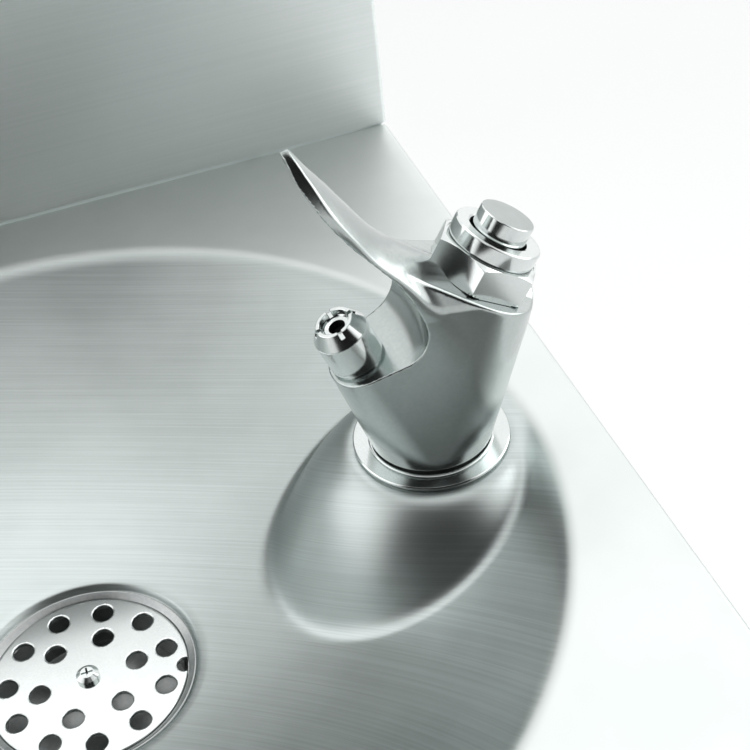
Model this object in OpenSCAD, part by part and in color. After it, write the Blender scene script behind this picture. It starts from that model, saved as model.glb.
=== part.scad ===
// Wall-hung drinking fountain with one push-button bubbler.
// Frame: origin at the centre of the wall bracket's bolt pattern, on the wall plane.
// +X is to the right seen from the front, +Y points into the wall and +Z is up. All in mm.

/* [Basin] */
// Width of the basin's deck
basin_w = 357; // [340:1:380]
// Depth of the deck from its front edge to the backsplash
basin_d = 372; // [365:1:380]
// Height of the deck above the wall bracket's bolts
deck_z = 80; // [79:0.5:82]
// Radius of the deck's two front corners
corner_r = 38; // [20:1:50]
// Depth of the turned-down edge
skirt_h = 24; // [15:1:35]
// Thickness of the basin's sheet
sheet = 1.5; // [1.2:0.1:1.8]
// Radius of the bowl at the deck
bowl_r = 157.3; // [156:0.1:158]
// Depth that the bowl's curve would reach at its centre
bowl_depth = 59; // [58:0.5:60]

/* [Backsplash] */
// Height of the backsplash above the deck
splash_h = 125; // [90:1:160]
// Depth of the backsplash in front of the wall
splash_d = 11.65; // [11.5:0.05:12.5]

/* [Housing] */
// Height of the housing below the wall bracket's bolts
housing_drop = 164; // [162:1:175]
// Height of the housing's vertical front wall, below the deck
front_h = 75; // [60:1:80]
// Depth of the flat stretch of the housing's floor
floor_d = 190; // [180:1:195]

/* [Bubbler] */
// Distance of the bubbler from the bowl's centre, to the right
bubbler_x = 126.5; // [126:0.1:127]
// Distance of the bubbler behind the bowl's centre
bubbler_back = 1.6; // [0:0.1:2]
// Radius of the bubbler's base
base_r = 19.7; // [19.5:0.1:20]
// Lean of the button's axis from upright, to the right
button_tilt = 31.7; // [30:0.1:33]
// Lean of the nozzle's axis from upright, to the left
nozzle_tilt = 20; // [18:0.1:22]
// Radius of the push button
button_r = 8.6; // [8:0.1:8.8]

/* [Plumbing] */
// Radius of the 1-1/4 inch waste tube
waste_r = 15.9; // [15.8:0.1:16]
// Radius of the 3/8 inch supply tube
supply_r = 4.76; // [4.7:0.01:4.8]

/* [Wall bracket] */
// Sideways distance between the wall bolts
bolt_dx = 180; // [160:1:190]
// Upright distance between the wall bolts
bolt_dz = 30; // [28:1:32]
// Radius of the wall bolt holes
bolt_hole_r = 4; // [3.5:0.1:4.2]

/* [Hidden] */
$fn = 96;
eps = 0.05;
gap = 0.3;
seam_y = -splash_d;
front_y = seam_y - basin_d;
bowl_y = -200;
bubbler_y = bowl_y + bubbler_back;
rim_blend_r = 4;
bowl_power = 2.2;
dome_top = -2;
dome_flat_r = 26.5;
dome_fall = 0.265;
dome_r = 70;
strainer_r = 33.2;
shank_r = 8.5;
valve_x = bubbler_x;
supply_z = 18;
trap_bend_r = 32;
trap_z = -102;
flange_w = 336;
inlet_r = 7.4;
cover_screw_r = 2.5;

steel = [0.76, 0.79, 0.78];
satin = [0.68, 0.72, 0.71];
chrome = [0.82, 0.85, 0.85];
brass = [0.78, 0.65, 0.36];
black = [0.08, 0.09, 0.09];

// ---- places and shared shapes ----

// Bowl frame: centre of the bowl at the deck's level
module at_bowl() { translate([0, bowl_y, deck_z]) children(); }
// Bubbler frame: centre of the flange ring at the deck's level
module at_bubbler() { translate([bubbler_x, bubbler_y, deck_z]) children(); }
// Along the button's axis, with the nut's seat at 0
module on_button() { at_bubbler() translate([18.8, 0, 57.9]) rotate([0, button_tilt, 0]) children(); }
// Along the nozzle's axis, with the nozzle's seat at 0
module on_nozzle() { at_bubbler() translate([-21.3, 0, 40]) rotate([0, -nozzle_tilt, 0]) children(); }
// Extrudes a Y-Z outline along X, centred
module along_x(w) { translate([-w / 2, 0, 0]) rotate([90, 0, 90]) linear_extrude(w) children(); }
// Extrudes an X-Z outline along Y, centred
module along_y(w) { translate([0, w / 2, 0]) rotate([90, 0, 0]) linear_extrude(w) children(); }
module tube(r, r_in, h) {
  difference() {
    cylinder(r = r, h = h);
    translate([0, 0, -eps]) cylinder(r = r_in, h = h + 2 * eps);
  }
}
// Hexagonal nut with both ends chamfered
module nut(r, r_in, h, chamfer) {
  difference() {
    intersection() {
      cylinder(r = r, h = h, $fn = 6);
      union() {
        cylinder(r1 = r - chamfer, r2 = r, h = chamfer * 0.6);
        translate([0, 0, chamfer * 0.6]) cylinder(r = r, h = h - chamfer * 1.2);
        translate([0, 0, h - chamfer * 0.6]) cylinder(r1 = r, r2 = r - chamfer, h = chamfer * 0.6);
      }
    }
    translate([0, 0, -eps]) cylinder(r = r_in, h = h + 2 * eps);
  }
}
// Ring of round section
module o_ring(r, wire) { rotate_extrude() translate([r, 0]) circle(r = wire, $fn = 24); }
// Screw pointing down from its head's seat at 0, with a cross recess
module pan_screw(r, length) {
  head_r = r * 1.9;
  difference() {
    union() {
      translate([0, 0, -length]) cylinder(r = r, h = length + eps);
      cylinder(r = head_r, h = r * 0.7);
      translate([0, 0, r * 0.7]) cylinder(r1 = head_r, r2 = head_r * 0.6, h = r * 0.5);
    }
    for (turn = [0, 90]) rotate(turn) translate([-r, -r * 0.16, r * 0.4]) cube([r * 2, r * 0.32, r]);
  }
}
// Point at t of a quadratic curve from a to c, drawn towards b
function bend_point(a, b, c, t) = (1 - t) * (1 - t) * a + 2 * t * (1 - t) * b + t * t * c;
function bend(a, b, c, steps) = [for (i = [0:steps]) bend_point(a, b, c, i / steps)];

// ---- basin ----

// Outline of the deck in plan, drawn in by inset on the front and the sides
module deck_outline(inset) {
  r = corner_r - inset;
  w = basin_w - 2 * inset;
  d = basin_d - inset;
  translate([-w / 2, front_y + inset + r]) square([w, d - r]);
  translate([-w / 2 + r, front_y + inset]) square([w - 2 * r, d]);
  for (side = [-1, 1]) translate([side * (w / 2 - r), front_y + inset + r]) circle(r = r);
}
// Height of the bowl's surface below the deck, its slope, and its underside at radius r
function bowl_z(r) = -bowl_depth * (1 - pow(r / bowl_r, bowl_power));
function bowl_slope(r) = bowl_depth * bowl_power / bowl_r * pow(r / bowl_r, bowl_power - 1);
function bowl_under(r) = [
  r + sheet * bowl_slope(r) / norm([1, bowl_slope(r)]),
  bowl_z(r) - sheet / norm([1, bowl_slope(r)])
];
// Height of the bubbler's dome at radius r from its axis
function dome_z(r) = dome_top - (r < dome_flat_r ? 0 : dome_fall * pow(r - dome_flat_r, 1.5));
bowl_steps = 22;
rim_angle = atan(bowl_slope(bowl_r));
rim_setback = rim_blend_r * tan(rim_angle / 2);
rim_start = bowl_r - rim_setback * cos(rim_angle);
rim_arc = [
  for (a = [rim_angle:-rim_angle / 4:0])
    [bowl_r + rim_setback - rim_blend_r * sin(a), rim_blend_r * (cos(a) - 1)]
];
bowl_top_points = [for (i = [0:bowl_steps]) [rim_start * i / bowl_steps, bowl_z(rim_start * i / bowl_steps)]];
bowl_under_points = [for (i = [0:bowl_steps]) bowl_under(rim_start * i / bowl_steps)];
module bowl_hollow() {
  rotate_extrude() polygon(concat(bowl_top_points, rim_arc, [[bowl_r + rim_setback, 5], [0, 5]]));
}
module bowl_solid() {
  rotate_extrude() polygon(concat(
    [[0, bowl_under(0)[1]]], bowl_under_points, [[bowl_r + 3, -sheet], [bowl_r + 3, 0], [0, 0]]
  ));
}
module dome_solid(lower) {
  rotate_extrude() polygon(concat(
    [[0, dome_top - lower]],
    [for (i = [0:16]) let (r = dome_flat_r + (dome_r - dome_flat_r) * i / 16) [r, dome_z(r) - lower]],
    [[dome_r, -100], [0, -100]]
  ));
}
recess_z = -59;
recess_r = 37;
drain_rim_r = 36.4;
module basin() {
  color(steel) difference() {
    union() {
      difference() {
        translate([0, 0, deck_z - skirt_h]) linear_extrude(skirt_h) deck_outline(0);
        translate([0, 0, deck_z - skirt_h - 1]) linear_extrude(skirt_h + 1 - sheet) deck_outline(sheet);
        translate([0, bowl_y, deck_z - 10]) cylinder(r = bowl_r + 2, h = 20);
      }
      difference() {
        at_bowl() {
          bowl_solid();
          translate([0, 0, recess_z - sheet]) cylinder(r = recess_r + sheet, h = 5);
        }
        difference() {
          at_bowl() bowl_hollow();
          at_bubbler() dome_solid(0);
        }
        at_bubbler() dome_solid(sheet);
      }
      translate([-flange_w / 2, seam_y - sheet, deck_z - 20]) cube([flange_w, sheet, 20]);
    }
    at_bowl() translate([0, 0, recess_z]) cylinder(r = recess_r, h = 10);
    at_bowl() translate([0, 0, recess_z - 10]) cylinder(r = 35.3, h = 20);
    at_bubbler() translate([0, 0, -10]) cylinder(r = shank_r + 0.5, h = 20);
    backsplash_bolt_holes();
  }
}

// ---- backsplash ----

bolt_row = [-120, 0, 120];
bolt_row_z = deck_z - 11;
module backsplash_bolt_holes() {
  for (x = bolt_row)
    translate([x, seam_y, bolt_row_z]) rotate([90, 0, 0]) cylinder(r = 2.6, h = 20, center = true);
}
module backsplash() {
  inner_w = basin_w - 2 * sheet;
  color(steel) difference() {
    union() {
      translate([-basin_w / 2, seam_y, deck_z]) cube([basin_w, splash_d, splash_h]);
      translate([-flange_w / 2, seam_y, deck_z - 20]) cube([flange_w, sheet, 21]);
    }
    translate([-inner_w / 2, seam_y + sheet, deck_z - 1]) cube([inner_w, splash_d, splash_h - sheet + 1]);
    backsplash_bolt_holes();
  }
}
module backsplash_bolts() {
  color(satin) for (x = bolt_row) {
    translate([x, seam_y + sheet, bolt_row_z]) rotate([-90, 0, 0]) pan_screw(2.5, 12);
    translate([x, seam_y - sheet, bolt_row_z]) rotate([90, 0, 0]) nut(4.6, 2.55, 4, 0.6);
  }
}

// ---- housing ----

floor_z = -housing_drop;
front_low_z = deck_z - front_h;
apron_inset = sheet + gap;
apron_front_y = front_y + apron_inset;
slope_run = apron_front_y + floor_d;
slope_rise = front_low_z - floor_z;
slope_angle = atan2(slope_rise, -slope_run);
slope_length = norm([slope_run, slope_rise]);
// Frame of the sloping floor: x across, y up the slope, z outwards
module on_slope() { translate([0, -floor_d, floor_z]) rotate([180 - slope_angle, 0, 0]) children(); }
// Side view of the housing, drawn in by t on the floor and the front
module side_outline(t) {
  cut = t * tan(slope_angle / 2);
  lift = t * tan((90 - slope_angle) / 2);
  polygon([
    [t, floor_z + t], [-floor_d + cut, floor_z + t], [apron_front_y + t, front_low_z + lift],
    [apron_front_y + t, deck_z - sheet + t], [t, deck_z - sheet + t]
  ]);
}
// Plan of the housing, drawn in by t on the front and the sides and left open at the wall
module housing_outline(t) {
  deck_outline(apron_inset + t);
  w = basin_w - 2 * (apron_inset + t);
  translate([-w / 2, seam_y - 1]) square([w, splash_d + 1 + t]);
}
cover_y = [20, slope_length - 20];
cover_spots = [
  for (x = [-134, 134]) for (f = [0, 0.5, 1]) [x, cover_y[0] + 8 + (cover_y[1] - cover_y[0] - 16) * f]
];
module apron() {
  color(steel) difference() {
    intersection() {
      translate([0, 0, floor_z - 1]) linear_extrude(400) housing_outline(0);
      along_x(basin_w) side_outline(0);
    }
    intersection() {
      translate([0, 0, floor_z - 1]) linear_extrude(400) housing_outline(sheet);
      along_x(basin_w) side_outline(sheet);
    }
    on_slope() translate([-126, cover_y[0] + 14, -10]) cube([252, cover_y[1] - cover_y[0] - 28, 20]);
    on_slope() for (p = cover_spots) translate([p[0], p[1], -10]) cylinder(r = cover_screw_r + 0.1, h = 20);
    rail_screw_holes();
  }
}
module access_cover() {
  color(steel) difference() {
    on_slope() translate([-140, cover_y[0], 0]) cube([280, cover_y[1] - cover_y[0], sheet]);
    on_slope() for (p = cover_spots) translate([p[0], p[1], -10]) cylinder(r = cover_screw_r + 0.1, h = 20);
  }
}
module cover_screws() {
  color(chrome) on_slope() for (p = cover_spots) translate([p[0], p[1], sheet]) pan_screw(cover_screw_r, 8);
}

// ---- hanging on the wall ----

rail_t = 2.5;
rail_w = basin_w - 2 * (apron_inset + sheet) - 2 * eps;
rail_y = seam_y - sheet - gap;
rail_spots = [for (z = [22, 44]) [rail_y - 10, z]];
module rail_screw_holes() {
  for (p = rail_spots)
    translate([0, p[0], p[1]]) rotate([0, 90, 0]) cylinder(r = 2.6, h = basin_w, center = true);
}
module hanger_rail() {
  color(steel) difference() {
    union() {
      translate([-rail_w / 2, rail_y - rail_t, 12]) cube([rail_w, rail_t, 39.5]);
      translate([-105, rail_y - eps, 49]) cube([210, -rail_y - 3, rail_t]);
      translate([-105, -5.5, 37]) cube([210, rail_t, 13]);
      for (side = [-1, 1])
        translate([side * (rail_w / 2 - rail_t / 2) - rail_t / 2, rail_y - 20, 12]) cube([rail_t, 20, 39.5]);
    }
    rail_screw_holes();
  }
}
module rail_screws() {
  color(chrome) for (side = [-1, 1]) for (p = rail_spots)
    translate([side * (basin_w / 2 - apron_inset), p[0], p[1]]) rotate([0, side * 90, 0]) pan_screw(2.5, 9);
}
module wall_bracket() {
  color(steel) difference() {
    union() {
      translate([-110, -2.5, -26]) cube([220, 2.5, 61]);
      translate([-105, -9, 32.5]) cube([210, 9, 2.5]);
      translate([-105, -9, 32.5]) cube([210, 2.5, 16.4]);
    }
    for (x = [-1, 1]) for (z = [-1, 1])
      translate([x * bolt_dx / 2, 0, z * bolt_dz / 2])
        rotate([90, 0, 0]) cylinder(r = bolt_hole_r, h = 8, center = true);
  }
}

// ---- bubbler ----

gasket_h = 1.5;
body_bore_r = 8.55;
seat_r = 19.8;
seat_z = -1.1;
nozzle_boss_r = 11.5;
// Mouth guard: its front and back faces in the bubbler's X-Z plane, and its half width
guard_front = bend([-8, 60], [-30, 86], [-34, 115], 10);
guard_back = bend([-32.5, 116], [-15.3, 88.5], [-3.4, 75], 10);
guard_half = bend([0, 116.5], [15, 108], [15, 60], 10);
module guard() {
  intersection() {
    along_y(40) polygon(concat(guard_front, guard_back, [[4, 62]]));
    along_x(100) polygon(concat(guard_half, [for (i = [10:-1:0]) [-guard_half[i][0], guard_half[i][1]]]));
  }
}
module bubbler_body() {
  color(satin) difference() {
    union() {
      difference() {
        hull() {
          at_bubbler() translate([0, 0, gasket_h]) cylinder(r = base_r, h = 3, $fn = 32);
          on_button() translate([0, 0, seat_z - 3]) cylinder(r = seat_r, h = 3, $fn = 32);
          on_nozzle() translate([0, 0, -4]) cylinder(r = nozzle_boss_r, h = 4, $fn = 32);
        }
        on_nozzle() cylinder(r = 17, h = 40);
      }
      at_bubbler() guard();
    }
    on_button() translate([0, 0, seat_z]) cylinder(r = 40, h = 12);
    on_button() translate([0, 0, -22]) cylinder(r = 11.05, h = 23);
    on_button() translate([0, 0, -31]) cylinder(r = 5.5, h = 10);
    on_nozzle() translate([0, 0, -10]) cylinder(r = 5.05, h = 11);
    at_bubbler() translate([0, 0, -1]) cylinder(r = body_bore_r, h = 18.5);
    at_bubbler() translate([3.5, 0, 15]) cylinder(r = 3.5, h = 18);
    at_bubbler() translate([-16.5, 0, 32]) rotate([0, 65, 0]) cylinder(r = 2.2, h = 24);
  }
}
module nozzle_base() {
  color(chrome) on_nozzle() difference() {
    union() {
      cylinder(r = 8.6, h = 11.6);
      translate([0, 0, -8]) cylinder(r = 5, h = 9);
    }
    translate([0, 0, -9]) cylinder(r = 2.5, h = 30);
    translate([0, 0, 8]) cylinder(r = 6.05, h = 10);
    translate([0, 0, -eps]) tube(7.3, 5 - eps, 1.3);
  }
}
module nozzle_tip() {
  slot_w = 1.3;
  color(chrome) on_nozzle() difference() {
    union() {
      translate([0, 0, 8]) cylinder(r = 6, h = 4);
      translate([0, 0, 11.6]) cylinder(r1 = 8.6, r2 = 6, h = 4.5);
    }
    translate([0, 0, 7]) cylinder(r = 2.6, h = 10);
    translate([0, 0, 13.1]) cylinder(r1 = 2.6, r2 = 4.9, h = 3.1);
    for (turn = [0, 90]) rotate(turn) translate([-10, -slot_w / 2, 14.4]) cube([20, slot_w, 4]);
  }
}
module nozzle_o_ring() { color(black) on_nozzle() translate([0, 0, 0.62]) o_ring(6.15, 0.6); }

// ---- push-button valve ----

collar_low = 9;
collar_top = 14.6;
flange_low = 3.4;
stem_r = 2;
module hex_nut() {
  color(chrome) on_button() difference() {
    union() {
      translate([0, 0, seat_z]) nut(17.3, 5, collar_low - seat_z, 1.9);
      translate([0, 0, -10]) cylinder(r = 11, h = 11);
    }
    translate([0, 0, -11]) cylinder(r = 10.05, h = 24);
    translate([0, 0, 6]) cylinder(r = 10.65, h = 5);
  }
}
module button_collar() {
  color(chrome) on_button() difference() {
    union() {
      translate([0, 0, collar_low]) cylinder(r = 13.9, h = collar_top - collar_low);
      translate([0, 0, 6]) cylinder(r = 10.6, h = 4);
    }
    translate([0, 0, 5]) cylinder(r = button_r + 0.7, h = 12);
  }
}
module push_button() {
  color(chrome) on_button() {
    translate([0, 0, flange_low]) cylinder(r = 10, h = 2.5);
    translate([0, 0, flange_low + 1]) cylinder(r = button_r, h = 20 - flange_low - 1);
    translate([0, 0, 20 - eps]) cylinder(r1 = button_r, r2 = button_r - 0.6, h = 0.6);
  }
}
module valve_stem() {
  color(steel) on_button() {
    translate([0, 0, -25]) cylinder(r = stem_r, h = flange_low + 25);
    translate([0, 0, -26]) cylinder(r = 3, h = 1);
  }
}
module valve_seal() {
  color(black) on_button() translate([0, 0, -24.9]) tube(4.6, stem_r, 2.7);
}
module valve_cartridge() {
  color(brass) on_button() difference() {
    translate([0, 0, -22]) cylinder(r = 11, h = 12);
    translate([0, 0, -23]) cylinder(r = 3.4, h = 5);
    translate([0, 0, -20]) cylinder(r = 7, h = 7);
    translate([0, 0, -14]) cylinder(r = stem_r + eps, h = 5);
    for (turn = [0:45:135])
      rotate(turn) translate([0, 0, -16.5]) rotate([0, 90, 0]) cylinder(r = 2, h = 30, center = true);
    translate([0, 0, -12.3]) tube(12, 9.75, 1.6);
  }
}
module cartridge_o_ring() { color(black) on_button() translate([0, 0, -11.5]) o_ring(10.4, 0.6); }
// Compression spring round the stem, between the cartridge and the button's flange
spring_turns = 5;
spring_r = 6.4;
spring_wire = 0.7;
spring_length = flange_low + 10 - 2 * spring_wire;
spring_rings = spring_turns * 14;
function spring_ring(k) = [
  for (j = [0:7]) let (a = 360 * spring_turns * k / spring_rings, r = spring_r + spring_wire * cos(45 * j))
    [r * cos(a), r * sin(a), spring_length * k / spring_rings + spring_wire * sin(45 * j)]
];
module return_spring() {
  last = spring_rings * 8;
  points = [for (k = [0:spring_rings]) each spring_ring(k)];
  sides = [
    for (k = [0:spring_rings - 1]) for (j = [0:7])
      [8 * k + j, 8 * k + 8 + j, 8 * k + 8 + (j + 1) % 8, 8 * k + (j + 1) % 8]
  ];
  ends = [[for (j = [0:7]) j], [for (j = [7:-1:0]) last + j]];
  color(steel) on_button() translate([0, 0, -10 + spring_wire]) polyhedron(points, concat(sides, ends));
}

// ---- bubbler fixing ----

module flange_ring() {
  color(chrome) at_bubbler() translate([0, 0, dome_top]) difference() {
    union() {
      cylinder(r = 25.4, h = 1.4);
      translate([0, 0, 1.4 - eps]) cylinder(r1 = 25.4, r2 = 24.8, h = 0.6 + eps);
    }
    translate([0, 0, -1]) cylinder(r = shank_r + 0.3, h = 4);
  }
}
module base_gasket() { color(black) at_bubbler() tube(19.2, shank_r + 0.1, gasket_h); }
shank_low = -50;
module shank() { color(brass) at_bubbler() translate([0, 0, shank_low]) tube(shank_r, 4.5, 17 - shank_low); }
module shank_washer() {
  color(steel) at_bubbler() translate([0, 0, dome_top - sheet - 2.5]) tube(18, shank_r + 0.1, 2.5);
}
module shank_nut() {
  color(brass) at_bubbler() translate([0, 0, dome_top - sheet - 2.5 - 8]) nut(15, shank_r + eps, 8, 1.5);
}

// ---- water supply ----

elbow_z = supply_z - deck_z;
regulator_y = [-140, -100];
valve_y = -40;
valve_z = -55;
supply_bend_r = 20;
tube_rise_z = supply_z - supply_bend_r;
valve_top_z = valve_z + 25;
// From the supply line's level under the bubbler
module on_supply(y) { translate([valve_x, y, supply_z]) rotate([-90, 0, 0]) children(); }
module inlet_elbow() {
  color(brass) difference() {
    union() {
      at_bubbler() translate([0, 0, elbow_z - 8]) cylinder(r = 11, h = 20);
      on_supply(bubbler_y) cylinder(r = 8, h = 24);
    }
    at_bubbler() translate([0, 0, shank_low]) cylinder(r = body_bore_r, h = 20);
    at_bubbler() translate([0, 0, elbow_z]) cylinder(r = 4, h = 20);
    on_supply(bubbler_y) cylinder(r = 3.5, h = 30);
    on_supply(bubbler_y + 16) cylinder(r = supply_r + eps, h = 30);
  }
}
module compression_nuts() {
  color(brass) {
    on_supply(bubbler_y + 24) nut(9.2, supply_r + eps, 11, 0.9);
    on_supply(regulator_y[0] - 11) nut(9.2, supply_r + eps, 11, 0.9);
    on_supply(regulator_y[1]) nut(9.2, supply_r + eps, 11, 0.9);
    translate([valve_x, valve_y, valve_top_z]) nut(9.2, supply_r + eps, 11, 0.9);
  }
}
module supply_tube_upper() {
  start_y = bubbler_y + 16;
  color(brass) on_supply(start_y) tube(supply_r, 3.6, regulator_y[0] + 6 - start_y);
}
module supply_tube_lower() {
  bend_y = valve_y - supply_bend_r;
  color(brass) {
    on_supply(regulator_y[1] - 6) tube(supply_r, 3.6, bend_y - regulator_y[1] + 6);
    translate([valve_x, bend_y, tube_rise_z]) rotate([90, 0, 90])
      rotate_extrude(angle = 90) translate([supply_bend_r, 0]) difference() {
        circle(r = supply_r);
        circle(r = 3.6);
      }
    translate([valve_x, valve_y, valve_top_z - 6]) tube(supply_r, 3.6, tube_rise_z - valve_top_z + 6);
  }
}
module regulator_body() {
  length = regulator_y[1] - regulator_y[0];
  color(brass) difference() {
    union() {
      translate([valve_x - 11, regulator_y[0] + 4, supply_z - 11]) cube([22, length - 8, 22]);
      on_supply(regulator_y[0]) cylinder(r = 8, h = length);
      translate([valve_x, regulator_y[0] + length / 2, supply_z]) cylinder(r = 8, h = 18);
    }
    on_supply(regulator_y[0] - 1) cylinder(r = 3, h = length + 2);
    for (y = [regulator_y[0] - 1, regulator_y[1] - 6]) on_supply(y) cylinder(r = supply_r + eps, h = 7);
    translate([valve_x, regulator_y[0] + length / 2, supply_z + 5]) cylinder(r = 4.05, h = 20);
  }
}
module regulator_screw() {
  color(steel) translate([valve_x, (regulator_y[0] + regulator_y[1]) / 2, supply_z + 6]) difference() {
    cylinder(r = 4, h = 16);
    translate([-5, -0.6, 14]) cube([10, 1.2, 3]);
  }
}
module stop_valve_body() {
  color(chrome) difference() {
    union() {
      translate([valve_x, -60, valve_z]) rotate([-90, 0, 0]) cylinder(r = 10, h = 50);
      translate([valve_x, -16, valve_z]) rotate([-90, 0, 0]) cylinder(r = 14, h = 15, $fn = 6);
      translate([valve_x, valve_y, valve_z]) cylinder(r = 8, h = 25);
    }
    translate([valve_x, -13, valve_z]) rotate([-90, 0, 0]) cylinder(r = inlet_r, h = 13);
    translate([valve_x, -46, valve_z]) rotate([-90, 0, 0]) cylinder(r = 4, h = 40);
    translate([valve_x, valve_y, valve_z]) cylinder(r = 3.5, h = 30);
    translate([valve_x, valve_y, valve_top_z - 6]) cylinder(r = supply_r + eps, h = 7);
    translate([valve_x, -61, valve_z]) rotate([-90, 0, 0]) cylinder(r = 3.05, h = 16);
  }
}
module stop_valve_bonnet() {
  color(chrome) translate([valve_x, -70, valve_z]) rotate([-90, 0, 0]) nut(10.5, 3.05, 10, 1);
}
module stop_valve_stem() {
  color(brass) translate([valve_x, -84, valve_z]) rotate([-90, 0, 0]) difference() {
    cylinder(r = 3, h = 36);
    translate([0, 0, -1]) cylinder(r = 1.55, h = 8);
  }
}
module stop_valve_handle() {
  color(chrome) translate([valve_x, -86, valve_z]) rotate([-90, 0, 0]) difference() {
    union() {
      hull() for (side = [-1, 1]) translate([side * 13, 0, 0]) cylinder(r = 7, h = 7, $fn = 32);
      cylinder(r = 8, h = 11);
    }
    translate([0, 0, -1]) cylinder(r = 1.6, h = 14);
    translate([0, 0, 2]) cylinder(r = 3, h = 14);
  }
}
module handle_screw() {
  color(steel) translate([valve_x, -86, valve_z]) rotate([90, 0, 0]) pan_screw(1.5, 7);
}

// ---- waste ----

plate_top = -59.4;
outer_holes = 11;
inner_holes = 6;
strainer_hole_r = 3.5;
notch_r = 2.7;
notch_angle = -13.7;
module strainer_plate() {
  color(steel) at_bowl() difference() {
    translate([0, 0, plate_top - sheet]) cylinder(r = strainer_r, h = sheet);
    for (i = [0:outer_holes - 1])
      rotate(360 * (i + 0.1) / outer_holes) translate([27, 0, -70]) cylinder(r = strainer_hole_r, h = 20);
    for (i = [0:inner_holes - 1])
      rotate(360 * i / inner_holes) translate([16.5, 0, -70]) cylinder(r = strainer_hole_r, h = 20);
    rotate(notch_angle) translate([32.2, 0, -70]) cylinder(r = notch_r, h = 20);
    translate([0, 0, -70]) cylinder(r = 2.1, h = 20);
  }
}
module strainer_screw() { color(chrome) at_bowl() translate([0, 0, plate_top]) pan_screw(2, 14); }
module drain_body() {
  seat = plate_top - sheet;
  color(steel) at_bowl() difference() {
    union() {
      translate([0, 0, recess_z]) cylinder(r = drain_rim_r, h = 1.8);
      translate([0, 0, -80]) cylinder(r = 35, h = 80 + recess_z + eps);
      translate([0, 0, -90]) cylinder(r1 = 17, r2 = 35, h = 10);
      translate([0, 0, -104]) cylinder(r = 17, h = 15);
    }
    translate([0, 0, seat]) cylinder(r = 33.6, h = 10);
    difference() {
      union() {
        translate([0, 0, -79]) cylinder(r = 31.5, h = 30);
        translate([0, 0, -89]) cylinder(r1 = 14, r2 = 31.5, h = 10 + eps);
      }
      translate([-33, -2, -79]) cube([66, 4, 14]);
      translate([0, 0, -79]) cylinder(r = 5, h = 79 + seat);
    }
    translate([0, 0, -105]) difference() {
      cylinder(r = 14, h = 26);
      translate([0, 0, 25.9]) cylinder(r = 5, h = 5);
    }
    translate([0, 0, -76]) cylinder(r = 2.05, h = 30);
  }
}
module drain_gasket() {
  color(black) at_bowl() translate([0, 0, recess_z - sheet - 2.5]) tube(43, 35.3, 2.5);
}
module drain_lock_nut() {
  lugs = 8;
  color(brass) at_bowl() translate([0, 0, recess_z - sheet - 10.5]) difference() {
    union() {
      cylinder(r = 42, h = 8);
      for (i = [0:lugs - 1]) rotate(360 * i / lugs) translate([36, -4, 0]) cube([9, 8, 8]);
    }
    translate([0, 0, -1]) cylinder(r = 35.1, h = 10);
  }
}
stub_z = deck_z - 104;
socket_r = 19;
socket_h = 16;
module tailpiece() {
  color(chrome) translate([0, bowl_y, trap_z + 4]) tube(waste_r, 14.4, stub_z - trap_z - 4);
}
// Slip nut threaded over a fitting of radius r_top above its washer, and sliding on the tube below
module slip_nut(r_top) {
  difference() {
    nut(24, waste_r + 0.1, 18, 2);
    translate([0, 0, 5]) cylinder(r = r_top + 0.1, h = 20);
  }
}
module slip_nuts() {
  color(chrome) {
    translate([0, bowl_y, stub_z - 8]) slip_nut(17);
    for (y = [bowl_y, bowl_y + 2 * trap_bend_r])
      translate([0, y, trap_z + socket_h + 8]) rotate([180, 0, 0]) slip_nut(socket_r);
  }
}
module slip_washers() {
  color(black) {
    translate([0, bowl_y, stub_z - 3]) tube(17, waste_r, 3);
    for (y = [bowl_y, bowl_y + 2 * trap_bend_r]) translate([0, y, trap_z + socket_h]) tube(socket_r, waste_r, 3);
  }
}
// Turns a ring's first quarter or half into the Y-Z plane
module ring_in_yz(angle, r, r_in) {
  rotate([90, 0, 90]) rotate_extrude(angle = angle) translate([trap_bend_r, 0]) difference() {
    circle(r = r);
    circle(r = r_in);
  }
}
module trap_bend() {
  color(chrome) {
    translate([0, bowl_y + trap_bend_r, trap_z]) rotate([180, 0, 0]) ring_in_yz(180, 17.5, 15.9);
    for (y = [bowl_y, bowl_y + 2 * trap_bend_r]) translate([0, y, trap_z]) difference() {
      cylinder(r = socket_r, h = socket_h);
      translate([0, 0, -1]) cylinder(r = 15.9, h = 6);
      translate([0, 0, 4]) cylinder(r = waste_r + eps, h = 20);
    }
  }
}
module trap_arm() {
  rise_y = bowl_y + 2 * trap_bend_r;
  run_y = rise_y + trap_bend_r;
  riser_z = trap_z + 25;
  color(chrome) {
    translate([0, rise_y, trap_z + 4]) tube(waste_r, 14.4, riser_z - trap_z - 4);
    translate([0, run_y, riser_z]) rotate([0, 0, 180]) ring_in_yz(90, waste_r, 14.4);
    translate([0, run_y, riser_z + trap_bend_r]) rotate([-90, 0, 0]) tube(waste_r, 14.4, -run_y - 2);
  }
}

basin();
backsplash();
backsplash_bolts();
apron();
access_cover();
cover_screws();
hanger_rail();
rail_screws();
wall_bracket();
bubbler_body();
nozzle_base();
nozzle_tip();
nozzle_o_ring();
hex_nut();
button_collar();
push_button();
valve_stem();
valve_seal();
return_spring();
valve_cartridge();
cartridge_o_ring();
base_gasket();
flange_ring();
shank();
shank_washer();
shank_nut();
inlet_elbow();
compression_nuts();
supply_tube_upper();
supply_tube_lower();
regulator_body();
regulator_screw();
stop_valve_body();
stop_valve_bonnet();
stop_valve_stem();
stop_valve_handle();
handle_screw();
strainer_plate();
strainer_screw();
drain_body();
drain_gasket();
drain_lock_nut();
tailpiece();
slip_nuts();
slip_washers();
trap_bend();
trap_arm();
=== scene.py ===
"""Wall-hung drinking fountain: the finished look of each piece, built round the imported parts."""

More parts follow.
